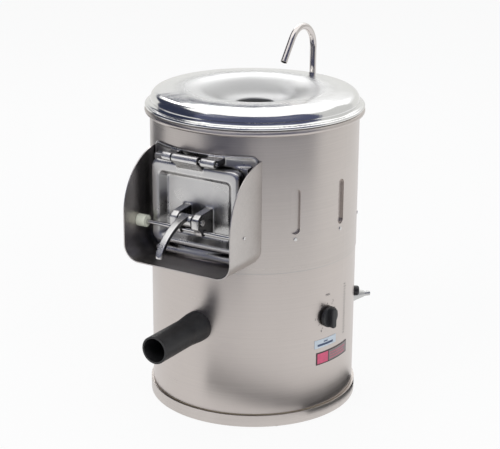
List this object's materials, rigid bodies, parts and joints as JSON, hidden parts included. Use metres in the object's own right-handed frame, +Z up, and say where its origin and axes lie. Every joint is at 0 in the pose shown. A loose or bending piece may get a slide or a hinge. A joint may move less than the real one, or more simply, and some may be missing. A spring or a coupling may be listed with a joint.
{
  "type": "electric potato peeler",
  "caption": "Counter-top potato peeler: a round steel tank with an abrasive disc, a swing-up cast door in a sheet chute, a lift-off lid, a swivelling water pipe, a drain spout and a timer knob.",
  "frame": {"origin": "on the tank's vertical axis, at the height of the table under the rubber pads", "axes": "+Z up, -Y towards the door and the drain spout, +X to the side of the timer knob"},
  "size_m": [0.4043, 0.549, 0.6773],
  "materials": {
    "rubber": "matte black rubber",
    "spout_rubber": "moulded grey-black rubber",
    "belt_rubber": "ribbed black rubber",
    "stainless": "fine horizontal brushing",
    "pan_steel": "spun, satin",
    "chute_steel": "sheet, satin",
    "pipe_steel": "polished pipe",
    "polished_steel": "turned and polished",
    "zinc_plate": "zinc-plated sheet",
    "zinc_steel": "zinc-plated screws",
    "bearing_steel": "ground steel",
    "core_steel": "stacked sheets",
    "cast_iron": "rough casting",
    "cast_aluminium": "sand-cast, part machined",
    "door_casting": "die-cast, polished",
    "lever_casting": "cast, tumbled",
    "lid_aluminium": "spun and polished",
    "plated_brass": "nickel-plated brass",
    "tail_metal": "turned, dull",
    "nut_brass": "bare brass",
    "abrasive": "bonded grit",
    "motor_paint": "stoved enamel",
    "capacitor_case": "moulded can",
    "terminal_plastic": "moulded block",
    "timer_case": "moulded case",
    "knob_plastic": "black moulding",
    "gland_plastic": "black moulding",
    "tube_plastic": "milky tube",
    "nylon": "white nylon",
    "plate_film": "pale printed film",
    "plate_print": "printed film with a dark edge"
  },
  "bodies": {
    "machine": {"rubber_feet": "rubber", "base_seal": "rubber", "drain_spout": "spout_rubber", "door_gasket": "rubber", "shaft_seal": "rubber", "drive_belt": "belt_rubber", "base_ring": "stainless", "base_plate": "zinc_plate", "base_screws": "zinc_steel", "lower_housing": "stainless", "name_plate": "plate_film", "notice_plate": "plate_print", "drain_pan": "pan_steel", "bearing_housing": "cast_iron", "bearing_bolts": "zinc_steel", "spindle_bearings": "bearing_steel", "motor_body": "motor_paint", "motor_stator": "core_steel", "motor_shields": "motor_paint", "motor_bearings": "bearing_steel", "motor_bracket": "zinc_plate", "motor_bolts": "zinc_steel", "run_capacitor": "capacitor_case", "capacitor_clip": "zinc_plate", "terminal_block": "terminal_plastic", "timer_body": "timer_case", "timer_nut": "polished_steel", "cable_gland": "gland_plastic", "hose_tail": "tail_metal", "locknuts": "nut_brass", "inlet_tube": "tube_plastic", "swivel_elbow": "plated_brass", "swivel_nut": "plated_brass", "pipe_clip": "plated_brass", "peeling_tank": "stainless", "abrasive_liner": "abrasive", "liner_rivets": "polished_steel", "door_frame": "door_casting", "frame_screws": "zinc_steel", "hinge_pin": "polished_steel", "discharge_chute": "chute_steel", "wing_studs": "polished_steel"},
    "lid": {"lid": "lid_aluminium"},
    "door": {"door": "door_casting", "latch_pin": "polished_steel", "latch_bar": "polished_steel", "nylon_rollers": "nylon"},
    "lever": {"latch_lever": "lever_casting"},
    "knob": {"timer_knob": "knob_plastic", "timer_shaft": "polished_steel"},
    "pipe": {"spray_pipe": "pipe_steel"},
    "disc": {"spindle": "bearing_steel", "peeling_disc": "cast_aluminium", "disc_abrasive": "abrasive", "disc_nut": "polished_steel", "driven_pulley": "cast_aluminium"},
    "motor": {"motor_rotor": "core_steel", "motor_pulley": "cast_aluminium"}
  },
  "joints": [
    {"name": "lid_lift", "type": "slide", "parent": "machine", "child": "lid", "axis": [0, 0, 1], "range_m": [0, 0.02]},
    {"name": "door_swing", "type": "hinge", "parent": "machine", "child": "door", "pos_m": [0, -0.213, 0.499], "axis": [-1, 0, 0], "range_deg": [0, 95]},
    {"name": "latch_turn", "type": "hinge", "parent": "door", "child": "lever", "pos_m": [0, -0.221, 0.393], "axis": [-1, 0, 0], "range_deg": [0, 75]},
    {"name": "timer_turn", "type": "hinge", "parent": "machine", "child": "knob", "pos_m": [0.18786, -0.0451, 0.1953], "axis": [-0.9724, 0.2334, 0], "range_deg": [0, 300]},
    {"name": "pipe_swivel", "type": "hinge", "parent": "machine", "child": "pipe", "pos_m": [0, 0.212, 0.4], "axis": [0, 0, 1], "range_deg": [-90, 90]},
    {"name": "disc_spin", "type": "hinge", "parent": "machine", "child": "disc", "pos_m": [0, 0, 0.3], "axis": [0, 0, 1], "continuous": true},
    {"name": "motor_spin", "type": "hinge", "parent": "machine", "child": "motor", "pos_m": [0, 0.105, 0.1], "axis": [0, 0, 1], "continuous": true}
  ],
  "couplings": [
    {"joint": "motor_spin", "follows": "disc_spin", "ratio": 4}
  ]
}
